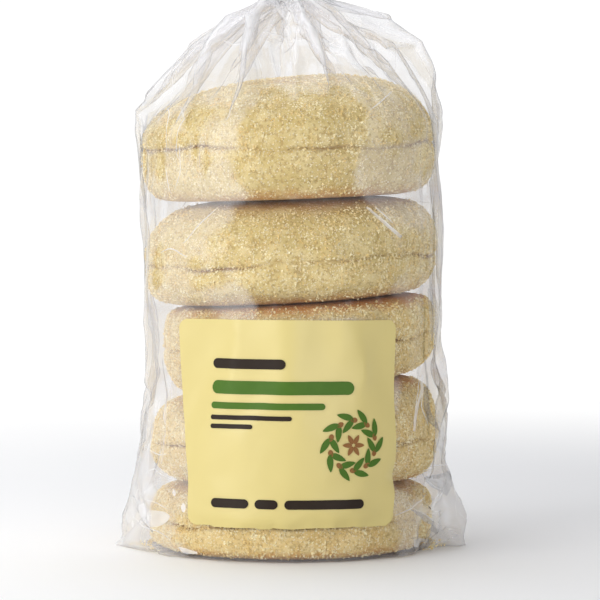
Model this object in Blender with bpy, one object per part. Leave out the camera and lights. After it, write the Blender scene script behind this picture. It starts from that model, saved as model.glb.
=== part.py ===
"""Clear bag of five stacked english muffins, standing on its flat base.

Metres, +Z up, front towards -Y, origin under the middle of the base.

bag    one closed solid out to the film's own outline: flat base with pointed side
       corners, walls that draw in between the muffins, folded shoulders, a pleated
       neck and the loose ruffle of film above the tie
label  thin printed panel with round corners, on the front of the bag
tie    twist tie round the neck, with its two ends twisted together
"""

import math

import bmesh
import bpy
from mathutils import Matrix, Vector

MM = 0.001
GAP = 0.3 * MM  # clear space between neighbouring pieces

# Outline of the bag from the floor up. Each row holds the height, how far the film
# reaches to the left and to the right, how far it reaches to the front and back,
# and the depth of its folds, all in millimetres.
OUTLINE = (
    (0.0, 53.6, 53.6, 47.4, 0.0),
    (2.0, 55.0, 55.0, 48.6, 0.3),
    (13.0, 53.8, 54.6, 48.0, 0.5),
    (30.0, 50.6, 52.4, 47.6, 0.5),
    (47.0, 47.4, 50.0, 47.2, 0.3),
    (60.0, 45.6, 47.4, 46.4, 0.3),
    (76.0, 46.0, 48.0, 46.6, 0.3),
    (93.0, 47.6, 48.6, 47.4, 0.3),
    (110.0, 47.0, 47.6, 46.6, 0.4),
    (126.0, 48.0, 47.4, 46.8, 0.6),
    (136.0, 48.4, 47.8, 46.0, 0.8),
    (147.0, 40.0, 45.2, 41.8, 2.2),
    (155.0, 31.0, 40.4, 33.4, 3.6),
    (163.0, 19.6, 26.4, 20.6, 3.0),
    (168.5, 9.4, 8.0, 8.6, 1.0),
    (171.0, 7.0, 2.6, 4.8, 0.3),
    (176.0, 7.0, 2.6, 4.8, 0.3),
    (181.0, 12.6, 6.4, 6.4, 0.9),
    (193.0, 21.0, 11.6, 8.2, 1.8),
    (212.0, 29.0, 15.4, 10.4, 2.4),
)
RINGS_PER_ROW = 3  # rings of points from one row of the outline to the next
BAG_SIDES = 64  # points round each ring
CORNER_SHARPNESS = 7  # how narrow the film's left and right corners are
FOLDS = ((7, 0.9, 0.45), (11, 2.3, 0.33), (18, 0.4, 0.22))  # count, phase, share

LABEL_WIDTH = 72.0 * MM  # measured round the curve
LABEL_BOTTOM = 11.0 * MM
LABEL_TOP = 73.5 * MM
LABEL_RADIUS = 3.0 * MM  # of its corners
LABEL_THICK = 0.3 * MM
LABEL_SHIFT = -1.0 * MM  # sideways
LABEL_ARC_STEPS = 4  # columns in each round corner
LABEL_FLAT_STEPS = 14  # columns between the corners
LABEL_ROWS = 12

NECK_CENTRE = Vector((-2.2 * MM, 0, 173.5 * MM))
NECK_RADIUS = 4.8 * MM
TIE_BAND = 3.6 * MM  # width of the tie's ribbon
TIE_THICK = 0.7 * MM
TIE_SIDES = 36
TWIST_LENGTH = 11.0 * MM
TWIST_TURNS = 2.5
TWIST_SECTION = (2.4 * MM, 1.3 * MM)
TWIST_STEPS = 30
TIP_LENGTH = 6.0 * MM
TIP_SPREAD = math.radians(28)
TIP_CLIMB = math.radians(14)
TIP_SECTION = (2.2 * MM, 0.7 * MM)
TWIST_HEADING = math.radians(-38)  # the ends point to the front right


def material(name, colour, roughness, alpha=1.0):
    made = bpy.data.materials.new(name)
    made.use_nodes = True
    shader = made.node_tree.nodes["Principled BSDF"]
    shader.inputs["Base Color"].default_value = (*colour, 1)
    shader.inputs["Roughness"].default_value = roughness
    shader.inputs["Metallic"].default_value = 0
    shader.inputs["Alpha"].default_value = alpha
    return made


def add_object(name, bm, finish):
    bmesh.ops.recalc_face_normals(bm, faces=bm.faces)
    mesh = bpy.data.meshes.new(name)
    bm.to_mesh(mesh)
    bm.free()
    mesh.materials.append(finish)
    mesh.shade_smooth()
    mesh.set_sharp_from_angle(angle=math.radians(40))
    made = bpy.data.objects.new(name, mesh)
    bpy.context.scene.collection.objects.link(made)
    return made


def outline_at(height):
    """The outline's columns at this height, on a smooth curve through its rows."""
    last = len(OUTLINE) - 2
    at = next((i for i in range(last) if height <= OUTLINE[i + 1][0]), last)
    rows = [OUTLINE[min(max(at + step, 0), last + 1)] for step in (-1, 0, 1, 2)]
    span = rows[2][0] - rows[1][0]
    t = (height - rows[1][0]) / span
    found = []
    for column in range(1, 5):
        before, start, end, after = (row[column] for row in rows)
        slope_in = (end - before) / max(rows[2][0] - rows[0][0], span) * span
        slope_out = (after - start) / max(rows[3][0] - rows[1][0], span) * span
        found.append(
            start * (2 * t**3 - 3 * t**2 + 1)
            + slope_in * (t**3 - 2 * t**2 + t)
            + end * (3 * t**2 - 2 * t**3)
            + slope_out * (t**3 - t**2)
        )
    return found


def fold_wave(turn, height):
    """From 0 to 1 round the bag. The folds lean a little as they climb."""
    lean = 0.006 * height
    wave = sum(
        share * math.cos(count * (turn + lean) + phase) for count, phase, share in FOLDS
    )
    return (1 - wave) / 2


def bag_point(turn, height, out=0.0):
    """Point of the film at this angle from +X and this height, both lengths in mm."""
    left, right, depth, folds = outline_at(height)
    half = (left + right) / 2
    side = abs(math.cos(turn)) ** CORNER_SHARPNESS
    reach = depth + (half - depth) * side
    reach += out - folds * fold_wave(turn, height) * (1 - side)
    x = (right - left) / 2 + reach * math.cos(turn)
    return Vector((x, reach * math.sin(turn), height)) * MM


def ring_heights():
    heights = [OUTLINE[0][0]]
    for low, high in zip(OUTLINE, OUTLINE[1:]):
        for step in range(1, RINGS_PER_ROW + 1):
            heights.append(low[0] + (high[0] - low[0]) * step / RINGS_PER_ROW)
    return heights


def bridge(bm, first, second):
    """Quads between two closed rings of points."""
    count = len(first)
    for i in range(count):
        j = (i + 1) % count
        bm.faces.new((first[i], first[j], second[j], second[i]))


def make_bag():
    bm = bmesh.new()
    turns = [math.tau * i / BAG_SIDES for i in range(BAG_SIDES)]
    rings = [
        [bm.verts.new(bag_point(turn, height)) for turn in turns]
        for height in ring_heights()
    ]
    for lower, upper in zip(rings, rings[1:]):
        bridge(bm, lower, upper)
    bm.faces.new(rings[0])
    bm.faces.new(rings[-1])
    return add_object("bag", bm, material("clear_film", (0.93, 0.93, 0.94), 0.08, 0.35))


def label_columns():
    """(distance from the middle, half height) of each column of the label's points."""
    half_width = LABEL_WIDTH / 2
    half_height = (LABEL_TOP - LABEL_BOTTOM) / 2
    right = []
    for step in range(LABEL_ARC_STEPS + 1):
        angle = math.pi / 2 * step / LABEL_ARC_STEPS
        across = half_width - LABEL_RADIUS * (1 - math.sin(angle))
        along = half_height - LABEL_RADIUS * (1 - math.cos(angle))
        right.append((across, along))
    flat = [
        (half_width - LABEL_RADIUS) * (2 * step / LABEL_FLAT_STEPS - 1)
        for step in range(1, LABEL_FLAT_STEPS)
    ]
    left = [(-across, along) for across, along in reversed(right)]
    return left + [(across, half_height) for across in flat] + right


def label_ring(bm, across, half_height, out):
    """The label's points at one column, from the bottom up."""
    middle = (LABEL_TOP + LABEL_BOTTOM) / 2
    turn = -math.pi / 2 + (across + LABEL_SHIFT) / (OUTLINE[5][3] * MM)
    heights = [
        middle + half_height * (2 * row / LABEL_ROWS - 1) for row in range(LABEL_ROWS + 1)
    ]
    return [bm.verts.new(bag_point(turn, height / MM, out / MM)) for height in heights]


def make_label():
    bm = bmesh.new()
    columns = label_columns()
    rings = []
    for across, half_height in columns:
        back = label_ring(bm, across, half_height, GAP)
        front = label_ring(bm, across, half_height, GAP + LABEL_THICK)
        rings.append(back + front[::-1])
    for first, second in zip(rings, rings[1:]):
        bridge(bm, first, second)
    bm.faces.new(rings[0])
    bm.faces.new(rings[-1])
    return add_object("label", bm, material("label_print", (0.86, 0.76, 0.34), 0.4))


def tie_band():
    bm = bmesh.new()
    inner = NECK_RADIUS + GAP
    outer = inner + TIE_THICK
    corners = (
        (inner, -TIE_BAND / 2),
        (outer, -TIE_BAND / 2),
        (outer, TIE_BAND / 2),
        (inner, TIE_BAND / 2),
    )
    rings = []
    for step in range(TIE_SIDES):
        turn = math.tau * step / TIE_SIDES
        across = Vector((math.cos(turn), math.sin(turn), 0))
        rings.append(
            [
                bm.verts.new(NECK_CENTRE + across * reach + Vector((0, 0, rise)))
                for reach, rise in corners
            ]
        )
    for first, second in zip(rings, rings[1:] + rings[:1]):
        bridge(bm, first, second)
    return bm


def heading_vector(heading, climb=0.0):
    """Unit vector at this angle from +X, tipped up by climb."""
    level = math.cos(climb)
    return Vector((level * math.cos(heading), level * math.sin(heading), math.sin(climb)))


def twisted_bar(start, forward, length, turns, section):
    """A bar of oblong section along forward, twisted as it goes."""
    bm = bmesh.new()
    across = Vector((0, 0, 1)).cross(forward).normalized()
    up = forward.cross(across)
    rings = []
    for step in range(TWIST_STEPS + 1):
        share = step / TWIST_STEPS
        spin = Matrix.Rotation(math.tau * turns * share, 3, forward)
        wide = spin @ across * (section[0] / 2)
        high = spin @ up * (section[1] / 2)
        centre = start + forward * (length * share)
        rings.append(
            [
                bm.verts.new(centre + wide * a + high * b)
                for a, b in ((-1, -1), (1, -1), (1, 1), (-1, 1))
            ]
        )
    for first, second in zip(rings, rings[1:]):
        bridge(bm, first, second)
    bm.faces.new(rings[0])
    bm.faces.new(rings[-1])
    return bm


def join_to(base, other):
    """Unites the two solids for good and drops the second."""
    union = base.modifiers.new("union", "BOOLEAN")
    union.operation = "UNION"
    union.object = other
    graph = bpy.context.evaluated_depsgraph_get()
    joined = bpy.data.meshes.new_from_object(base.evaluated_get(graph))
    base.modifiers.remove(union)
    base.data = joined
    bpy.data.objects.remove(other)


def make_tie():
    paper = material("tie_paper", (0.85, 0.85, 0.83), 0.5)
    tie = add_object("tie", tie_band(), paper)
    forward = heading_vector(TWIST_HEADING)
    root = NECK_CENTRE + forward * (NECK_RADIUS + GAP + TIE_THICK / 2)
    twist = twisted_bar(root, forward, TWIST_LENGTH, TWIST_TURNS, TWIST_SECTION)
    join_to(tie, add_object("twist", twist, paper))
    knot = root + forward * (TWIST_LENGTH - TIE_THICK)
    for side in (-1, 1):
        away = heading_vector(TWIST_HEADING + side * TIP_SPREAD, side * TIP_CLIMB)
        start = knot + Vector((0, 0, side * TIE_THICK / 2))
        tip = twisted_bar(start, away, TIP_LENGTH, side * 0.2, TIP_SECTION)
        join_to(tie, add_object("tip", tip, paper))
    return tie


def clear_scene():
    for found in list(bpy.data.objects):
        bpy.data.objects.remove(found)


clear_scene()
make_bag()
make_label()
make_tie()
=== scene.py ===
import math

import bpy
import numpy as np
from mathutils import Matrix, Vector, noise
from mathutils.bvhtree import BVHTree
from mathutils.geometry import delaunay_2d_cdt


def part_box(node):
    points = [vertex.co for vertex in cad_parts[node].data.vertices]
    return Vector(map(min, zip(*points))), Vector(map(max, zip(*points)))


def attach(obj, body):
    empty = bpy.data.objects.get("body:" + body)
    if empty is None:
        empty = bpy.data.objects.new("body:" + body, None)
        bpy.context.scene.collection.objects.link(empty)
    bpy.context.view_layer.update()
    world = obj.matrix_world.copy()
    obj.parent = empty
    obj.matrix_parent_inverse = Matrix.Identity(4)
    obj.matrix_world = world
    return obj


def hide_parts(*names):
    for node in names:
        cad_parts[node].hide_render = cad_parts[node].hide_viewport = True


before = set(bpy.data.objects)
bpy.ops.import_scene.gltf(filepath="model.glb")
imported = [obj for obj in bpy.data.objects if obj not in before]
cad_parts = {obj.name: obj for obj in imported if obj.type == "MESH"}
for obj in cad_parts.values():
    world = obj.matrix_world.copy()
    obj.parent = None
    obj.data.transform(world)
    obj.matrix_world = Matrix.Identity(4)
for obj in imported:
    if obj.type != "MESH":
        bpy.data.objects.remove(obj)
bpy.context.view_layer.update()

labelLow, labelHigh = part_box("label")
tieLow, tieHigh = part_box("tie")
mm = 0.001
rng = np.random.default_rng(41)


def operator(operation, swapped=False):
    def apply(first, second):
        if swapped:
            return first.maths(operation, second, first)
        return first.maths(operation, first, second)
    return apply


class Socket:
    __add__, __radd__ = operator("ADD"), operator("ADD", swapped=True)
    __sub__, __rsub__ = operator("SUBTRACT"), operator("SUBTRACT", swapped=True)
    __mul__, __rmul__ = operator("MULTIPLY"), operator("MULTIPLY", swapped=True)

    def __init__(self, shader, link):
        self.shader = shader
        self.link = link

    def maths(self, operation, first, second, clamp=False):
        settings = {"operation": operation, "use_clamp": clamp}
        return self.shader.node("Math", settings, {0: first, 1: second})

    def clamped(self):
        return self.maths("ADD", self, 0.0, clamp=True)

    def between(self, low, high):  # 0 at low, 1 at high, smooth
        span = {"interpolation_type": "SMOOTHSTEP"}
        values = {"Value": self, "From Min": low, "From Max": high}
        return self.shader.node("MapRange", span, values)


class Shader:
    def __init__(self, name, world=None):
        self.material = world or bpy.data.materials.new(name)
        self.material.use_nodes = True
        self.tree = self.material.node_tree
        self.tree.nodes.clear()

    def node(self, kind, settings=None, sockets=None, output=0):
        made = self.tree.nodes.new("ShaderNode" + kind)
        for key, value in (settings or {}).items():
            setattr(made, key, value)
        for key, value in (sockets or {}).items():
            if isinstance(value, Socket):
                self.tree.links.new(value.link, made.inputs[key])
            elif isinstance(value, tuple) and len(value) == 3:
                wide = len(made.inputs[key].default_value) == 4
                made.inputs[key].default_value = (*value, 1.0) if wide else value
            else:
                made.inputs[key].default_value = value
        return Socket(self, made.outputs[output] if len(made.outputs) else None)

    def mix(self, factor, first, second):
        return self.node("Mix", {"data_type": "RGBA"}, {0: factor, 6: first, 7: second}, 2)

    def attribute(self, name):
        return self.node("Attribute", {"attribute_name": name}, output=2)

    def place(self):
        return self.node("TexCoord", output=3)

    def noise(self, scale, detail=3.0, rough=0.55, warp=0.0):
        sockets = {"Vector": self.place(), "Scale": scale, "Detail": detail}
        sockets.update({"Roughness": rough, "Distortion": warp})
        return self.node("TexNoise", None, sockets)

    def cells(self, scale, feature="F1"):
        sockets = {"Vector": self.place(), "Scale": scale}
        return self.node("TexVoronoi", {"feature": feature}, sockets)

    def bump(self, height, strength, distance):
        sockets = {"Height": height, "Strength": strength, "Distance": distance}
        return self.node("Bump", None, sockets)

    def blend(self, factor, first, second):
        return self.node("MixShader", None, {0: factor, 1: first, 2: second})

    def principled(self, colour, rough, specular=0.5, normal=None):
        sockets = {"Base Color": colour, "Roughness": rough, "Specular IOR Level": specular}
        if normal:
            sockets["Normal"] = normal
        return self.node("BsdfPrincipled", None, sockets)

    def finish(self, surface):
        self.node("OutputMaterial", None, {"Surface": surface})
        return self.material


def gridFaces(rows, columns, closed=True):
    across = columns if closed else columns - 1
    row, column = np.meshgrid(np.arange(rows - 1), np.arange(across), indexing="ij")
    here = row * columns + column
    right = row * columns + (column + 1) % columns
    return np.stack([here, right, right + columns, here + columns], -1).reshape(-1, 4)


def addMesh(name, points, faces, material=None, smooth=True):
    mesh = bpy.data.meshes.new(name)
    mesh.from_pydata(np.asarray(points).reshape(-1, 3).tolist(), [], np.asarray(faces).tolist())
    mesh.polygons.foreach_set("use_smooth", [smooth] * len(mesh.polygons))
    if material:
        mesh.materials.append(material)
    made = bpy.data.objects.new(name, mesh)
    bpy.context.scene.collection.objects.link(made)
    return made


def addGrids(name, grids, material):
    # several open grids of points as one piece
    points, faces, count = [], [], 0
    for grid in grids:
        points.append(grid.reshape(-1, 3))
        faces.append(gridFaces(*grid.shape[:2], closed=False) + count)
        count += len(points[-1])
    return addMesh(name, np.concatenate(points), np.concatenate(faces), material)


def addValues(piece, name, values):
    layer = piece.data.attributes.new(name, "FLOAT", "POINT")
    layer.data.foreach_set("value", np.asarray(values, np.float32).ravel())


def unit(vectors):
    return vectors / np.maximum(np.linalg.norm(vectors, axis=-1, keepdims=True), 1e-12)


def lineLengths(line):
    # how far along a line each of its points is
    return np.concatenate([[0], np.cumsum(np.hypot(*np.diff(line, axis=0).T))])


def smoothStep(low, high, value):
    share = np.clip((value - low) / (high - low), 0, 1)
    return share * share * (3 - 2 * share)


def placePiece(piece, node=None):
    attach(piece, "root")
    if node:
        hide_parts(node)


stage = {
    "cameraAway": 1.0,  # from the pack's middle, metres
    "cameraUp": 0.130,
    "aimUp": 0.0766,
    "shiftRight": 0.0028,
    "lens": 193.5,
    "roomTint": (0.96, 0.97, 1.0),
    "backdrop": 1.05,
    # how bright the room is along an axis (0 for X): where it starts and ends, then the two strengths
    "room": [(1, -0.3, 0.8, 0.24, 0.92), (0, 0.9, -0.9, 0.0, 0.22)],
    "floorLeft": (0.97, 0.97, 0.97),
    "floorShadedRight": (0.815, 0.815, 0.82),
    "fadeRight": 0.06,
    "fadeFrom": 0.20,
    "fadeTo": 0.55,
}


def addAimed(name, data, place, aim):
    made = bpy.data.objects.new(name, data)
    bpy.context.scene.collection.objects.link(made)
    made.location = place
    made.rotation_euler = (Vector(aim) - Vector(place)).to_track_quat("-Z", "Y").to_euler()
    return made


def makeCamera():
    data = bpy.data.cameras.new("camera")
    data.lens = stage["lens"]
    data.clip_end = 20
    place = (stage["shiftRight"], -stage["cameraAway"], stage["cameraUp"])
    aim = (stage["shiftRight"], 0, stage["aimUp"])
    bpy.context.scene.camera = addAimed("camera", data, place, aim)


def addLamp(name, place, aim, size, watts):
    data = bpy.data.lights.new(name, "AREA")
    data.shape = "RECTANGLE"
    data.size, data.size_y = size
    data.energy = watts
    addAimed(name, data, place, aim).visible_camera = False


def makeWorld():
    # a white backdrop behind the pack and a dimmer room in front, brighter on the left
    bpy.context.scene.world = bpy.data.worlds.new("studio")
    shader = Shader("studio", bpy.context.scene.world)
    way = shader.node("TexCoord")
    strength = 0.0
    for axis, low, high, dark, light in stage["room"]:
        values = {"Value": shader.node("SeparateXYZ", None, {0: way}, axis)}
        values.update({"From Min": low, "From Max": high, "To Min": dark, "To Max": light})
        strength = strength + shader.node("MapRange", None, values)
    room = {"Color": stage["roomTint"], "Strength": strength}
    room = shader.node("Background", None, room)
    backdrop = {"Color": (1.0, 1.0, 1.0), "Strength": stage["backdrop"]}
    backdrop = shader.node("Background", None, backdrop)
    surface = shader.blend(shader.node("LightPath"), room, backdrop)
    shader.node("OutputWorld", None, {"Surface": surface})


def makeFloor():
    # white paper that takes the pack's shadow and fades to plain white away from it; the paper is tinted
    # darker towards the right and the white starts sooner on the left, a painted shadow on the right side
    shader = Shader("paperSweep")
    place = shader.place()
    middle = (stage["fadeRight"], 0.0, 0.0)
    far = shader.node("VectorMath", {"operation": "DISTANCE"}, {0: place, 1: middle}, 1)
    # paper darker towards the right: painted shadow
    right = shader.node("SeparateXYZ", None, {0: place}).between(-0.13, 0.08)
    tint = shader.mix(right, stage["floorLeft"], stage["floorShadedRight"])
    paper = shader.principled(tint, 0.7, 0.2)
    white = shader.node("Emission", None, {"Color": (1.0, 1.0, 1.0), "Strength": 1.03})
    fade = far.between(stage["fadeFrom"], stage["fadeTo"])
    surface = shader.blend(fade, paper, white)
    reach = 6.0
    corners = [(-reach, -reach, 0), (reach, -reach, 0), (reach, reach, 0), (-reach, reach, 0)]
    floor = addMesh("floor", corners, [(0, 1, 2, 3)], shader.finish(surface))


makeCamera()
makeWorld()
makeFloor()
addLamp("key", (-1.04, -0.92, 0.46), (0, 0, 0.08), (1.1, 1.1), 13.9)
addLamp("top", (-0.2, 0.0, 1.2), (0, 0, 0.0), (1.0, 1.0), 4.3)
addLamp("fill", (0.6, -1.1, 0.12), (0, 0, 0.05), (0.8, 0.5), 3.9)
scene = bpy.context.scene
scene.view_settings.view_transform = "Standard"
scene.cycles.transparent_max_bounces = 40
print("stage ready")


# muffins: round loaves between tilted faces, forked apart round the middle
stack = {
    "radius": 45.1 * mm,
    "columns": 224,
    "rows": 92,
    "gap": 0.1 * mm,
    # the forked split and the softer lips beside it: how deep and how far up and down, in millimetres
    "grooveDeep": 1.3,
    "grooveReach": 0.48,
    "lipsDeep": 0.25,
    "lipsReach": 2.4,
    # lumps of the crust from broad to fine: how close together, and how high in millimetres
    "lumps": [(90, 0.8), (260, 0.34), (900, 0.12)],
    # height of each face between two muffins, and how many degrees it rises to the right
    "faces": [(0.3, 0.0), (21.0, 0.1), (50.5, 5.4), (77.0, 3.1), (108.4, 2.1), (145.7, 5.0)],
}
# from the bottom up: the split's height and rise, then how square the upper and lower half are,
# first seen from above and then from the side
muffins = [
    {"name": "muffin_1", "x": 0.0, "y": 0.1, "radius": 0.965, "split": (10.6, 1.2), "crown": (8, 2.2),
     "foot": (14, 6.0), "toastTop": 0.5, "toastFoot": 0.8},
    {"name": "muffin_2", "x": 0.6, "y": -0.2, "radius": 0.985, "split": (33.6, 0.6), "crown": (9, 2.2),
     "foot": (8, 2.4), "toastTop": 0.8, "toastFoot": 0.8},
    {"name": "muffin_3", "x": 2.4, "y": -1.6, "radius": 0.925, "split": (64.6, 3.6), "crown": (14, 3.3),
     "foot": (9, 2.1), "toastTop": 1.0, "toastFoot": 0.6},
    {"name": "muffin_4", "x": -0.4, "y": 0.2, "radius": 0.998, "split": (89.6, 3.0), "crown": (5.0, 2.0),
     "rightCrown": (5.0, 3.8), "foot": (10, 2.4), "toastTop": 0.6, "toastFoot": 0.55},
    {"name": "muffin_5", "x": -0.4, "y": 0.0, "radius": 1.0, "split": (124.0, 1.3), "crown": (2.6, 2.4),
     "foot": (14, 2.6), "toastTop": 0.35, "toastFoot": 0.65},
]


def halfProfile(power, tall, radius, count):
    # (reach, rise) from the split to the middle of a face, closest together on the side
    across, upright = power
    turn = np.linspace(0, math.pi / 2, 1500)
    reach = np.cos(turn) ** (2 / across)
    rise = np.sin(turn) ** (2 / upright)
    weight = np.where(reach[1:] > 0.62, 1.0, 0.3) + 1.8 * (rise[1:] * tall < 1.8 * mm)
    along = np.cumsum(np.hypot(np.diff(reach) * radius, np.diff(rise) * tall) * weight)
    along = np.concatenate([[0], along])
    at = np.linspace(0, along[-1], count)
    return np.interp(at, along, reach), np.interp(at, along, rise)


def muffinPoints(index, columns, rows, relief=True):
    # points of one muffin, with how toasted they are (paler on the lit left side as painted light) and how
    # deep in the split (which also sets the split's painted shade)
    made = muffins[index]
    (low, lowRise), (high, highRise) = stack["faces"][index:index + 2]
    middle, middleRise = made["split"]
    radius = stack["radius"] * made["radius"]
    turn = np.linspace(0, math.tau, columns, endpoint=False)
    half = rows // 2

    def profile(crown):
        footReach, footRise = halfProfile(made["foot"], (middle - low) * mm, radius, half)
        crownReach, crownRise = halfProfile(crown, (high - middle) * mm, radius, rows - half + 1)
        reach = np.concatenate([footReach[::-1], crownReach[1:]])
        return reach[:, None], np.concatenate([-footRise[::-1], crownRise[1:]])[:, None]

    reach, rise = profile(made["crown"])
    if "rightCrown" in made:
        share = smoothStep(0.1, 0.8, np.cos(turn))[None]
        both = zip((reach, rise), profile(made["rightCrown"]))
        reach, rise = (left * (1 - share) + share * right for left, right in both)
    seed = 3.7 * index
    lump = 0.5 * np.sin(2 * turn + seed) + 0.4 * np.sin(3 * turn + 2 * seed)
    lump += 0.3 * np.sin(5 * turn - seed)
    lump -= lump[columns // 2] / 2
    wobble = 0.55 * np.sin(3 * turn + seed) + 0.45 * np.sin(7 * turn + 2 + seed)
    wobble += 0.3 * np.sin(17 * turn + seed)
    tall = np.where(rise > 0, high - middle, middle - low)
    away = rise * tall - wobble  # millimetres above the split
    uneven = np.sin(2 * turn + 1.3 * seed) + np.sin(3 * turn - seed) + 0.8 * np.sin(7 * turn + 2 * seed)
    strength = np.clip(0.74 + 0.2 * uneven, 0.3, 1.0)
    side = smoothStep(0.75, 0.95, reach)
    grooveAndShade = np.exp(-np.abs(away / stack["grooveReach"]) ** 1.5) * strength * side
    lips = np.exp(-np.abs(away / stack["lipsReach"]) ** 2.0) * side
    out = reach * (radius + lump * mm) - (stack["grooveDeep"] * grooveAndShade + stack["lipsDeep"] * lips) * mm
    x = out * np.cos(turn) + made["x"] * mm
    y = out * np.sin(turn) + made["y"] * mm
    lowFace = low * mm + x * math.tan(math.radians(lowRise)) + stack["gap"] / 2
    splitFace = middle * mm + x * math.tan(math.radians(middleRise))
    highFace = high * mm + x * math.tan(math.radians(highRise)) - stack["gap"] / 2
    z = splitFace + np.where(rise > 0, (highFace - splitFace) * rise, (splitFace - lowFace) * rise)
    points = np.stack([x, y, z], -1)
    if relief:
        points += muffinRelief(points, reach * np.ones((1, columns)), turn)
    fromFace = (1 - np.abs(rise)) * tall
    toastAndLitSide = np.where(rise > 0, made["toastTop"], made["toastFoot"])
    # toast paler on the lit left side: painted light
    toastAndLitSide = toastAndLitSide * (1 - 0.4 * smoothStep(0.1, 0.9, -np.cos(turn)))  # paler on the left
    rim = smoothStep(5.0, 0.4, fromFace) * toastAndLitSide * np.ones((1, columns))
    # how strongly the split's painted dark line shows round the muffin
    shown = np.clip(0.72 + 0.3 * uneven, 0.2, 1.0)
    return points, rim, grooveAndShade * shown


def muffinRelief(points, flat, turn):
    # soft lumps, outwards on the side and not on the faces that touch
    outward = np.stack([np.cos(turn), np.sin(turn), 0 * turn], -1)[None]
    places = [Vector(point) for point in points.reshape(-1, 3)]
    lumps = [sum(high * noise.noise(at * close) for close, high in stack["lumps"]) for at in places]
    lumps = np.array(lumps).reshape(points.shape[:2]) * smoothStep(0.35, 0.85, flat) * mm
    return lumps[..., None] * outward


def crustMaterial():
    shader = Shader("bakedCrust")
    # the toast mask also carries painted light: paler on the lit left side
    rim = shader.attribute("toastAndLitSide")
    grooveAndShade = shader.attribute("split")
    broad = shader.noise(45, 4).between(0.35, 0.68)
    patch = shader.noise(160, 4).between(0.4, 0.65)
    speck = 1 - shader.cells(1050).between(0.14, 0.36)
    # pits where the bump sinks, painted darker brown: partly the crust's colour, partly painted shade in
    # the hollows
    pitAndShade = shader.noise(900, 2).between(0.50, 0.66)
    pale = shader.mix(broad, (0.70, 0.56, 0.245), (0.61, 0.465, 0.175))
    rise = shader.node("SeparateXYZ", None, {0: shader.place()}, 2)
    warm = 1 - rise.between(0.035, 0.10)
    pale = shader.mix(warm * 0.65, pale, (0.79, 0.57, 0.235))
    floury = shader.mix(patch * 0.6, pale, (0.84, 0.71, 0.39))
    pittedAndShaded = shader.mix(pitAndShade * 0.58, floury, (0.42, 0.27, 0.075))
    edge = (rim * 1.15 - 0.3 * patch).clamped()
    baked = shader.mix(edge, pittedAndShaded, (0.60, 0.285, 0.085))
    dusted = shader.mix(speck * (1 - 0.35 * rim) * 0.8, baked, (0.95, 0.87, 0.62))
    # the split painted dark brown: partly the crevice's browner crust, partly painted shade
    colour = shader.mix((grooveAndShade * 1.1).clamped(), dusted, (0.30, 0.155, 0.035))
    height = speck * 0.6 - pitAndShade * 0.5 + patch * 0.5
    return shader.finish(shader.principled(colour, 0.72, 0.3, shader.bump(height, 0.6, 0.0004)))


def makeMuffins():
    crust = crustMaterial()
    made = []
    for index, settings in enumerate(muffins):
        points, rim, grooveAndShade = muffinPoints(index, stack["columns"], stack["rows"])
        faces = gridFaces(stack["rows"], stack["columns"])
        piece = addMesh(settings["name"], points, faces, crust)
        addValues(piece, "toastAndLitSide", rim)
        # the split's depth, which the crust also paints dark as shade
        addValues(piece, "split", grooveAndShade)
        placePiece(piece, "bag")
        made.append(piece)
    return made


muffinPieces = makeMuffins()
print("muffins baked")


# coarse grains stuck to the crust
semolina = {"perMuffin": 11500, "small": 0.27 * mm, "large": 0.56 * mm}


def grainMaterial():
    shader = Shader("semolinaGrain")
    tint = shader.noise(420, 1).between(0.35, 0.65)
    colour = shader.mix(tint, (0.98, 0.89, 0.58), (0.85, 0.65, 0.27))
    return shader.finish(shader.principled(colour, 0.27, 0.7))


def grainShape():
    # three corners round the middle, one above and one below
    points = np.array([(0, 0, 1.0), (1, 0, 0), (-0.5, 0.87, 0), (-0.5, -0.87, 0), (0, 0, -0.8)])
    faces = np.array([(0, 1, 2), (0, 2, 3), (0, 3, 1), (4, 2, 1), (4, 3, 2), (4, 1, 3)])
    return points, faces


def scatterGrains(name, places, outwards, material):
    shape, faces = grainShape()
    count = len(places)
    size = rng.uniform(semolina["small"], semolina["large"], count) * rng.uniform(0.7, 1.15, count)
    stretch = rng.uniform(0.6, 1.25, (count, 3))
    jitter = rng.uniform(0.72, 1.2, (count, len(shape), 3))
    turned = np.array([Matrix.Rotation(a, 3, Vector(axis)) for a, axis in zip(
        rng.uniform(0, math.tau, count), rng.normal(size=(count, 3)))])
    bits = shape[None] * stretch[:, None] * jitter * size[:, None, None]
    bits = np.einsum("nij,nkj->nki", turned, bits)
    bits += (places + outwards * size[:, None] * 0.2)[:, None]
    index = faces[None] + (np.arange(count) * len(shape))[:, None, None]
    return addMesh(name, bits, index.reshape(-1, 3), material, smooth=False)


def makeGrains():
    material = grainMaterial()
    for piece, settings in zip(muffinPieces, muffins):
        mesh = piece.data
        polygons = len(mesh.polygons)
        toastAndLitSide = np.empty(len(mesh.vertices), np.float32)
        mesh.attributes["toastAndLitSide"].data.foreach_get("value", toastAndLitSide)
        bare = 1 - 0.4 * toastAndLitSide[gridFaces(stack["rows"], stack["columns"])[:, 0]]
        area, middle, normal = np.empty(polygons), np.empty((polygons, 3)), np.empty((polygons, 3))
        for key, values in (("area", area), ("center", middle), ("normal", normal)):
            mesh.polygons.foreach_get(key, values.ravel())
        side = smoothStep(0.995, 0.80, np.abs(normal[:, 2]))
        if piece is muffinPieces[-1]:
            side = np.maximum(side, (normal[:, 2] > 0) * 0.8)
        clump = np.array([0.65 + noise.noise(Vector(p) * 120) for p in middle])
        chance = area * side * bare * np.clip(clump, 0.08, 1.4)
        chosen = rng.choice(polygons, semolina["perMuffin"], p=chance / chance.sum())
        places = middle[chosen] + rng.normal(0, 0.25 * mm, (len(chosen), 3))
        places -= normal[chosen] * np.sum((places - middle[chosen]) * normal[chosen], 1)[:, None]
        grains = scatterGrains("semolina_" + settings["name"][-1], places, normal[chosen], material)
        placePiece(grains, "bag")


makeGrains()
print("grains scattered")


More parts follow.
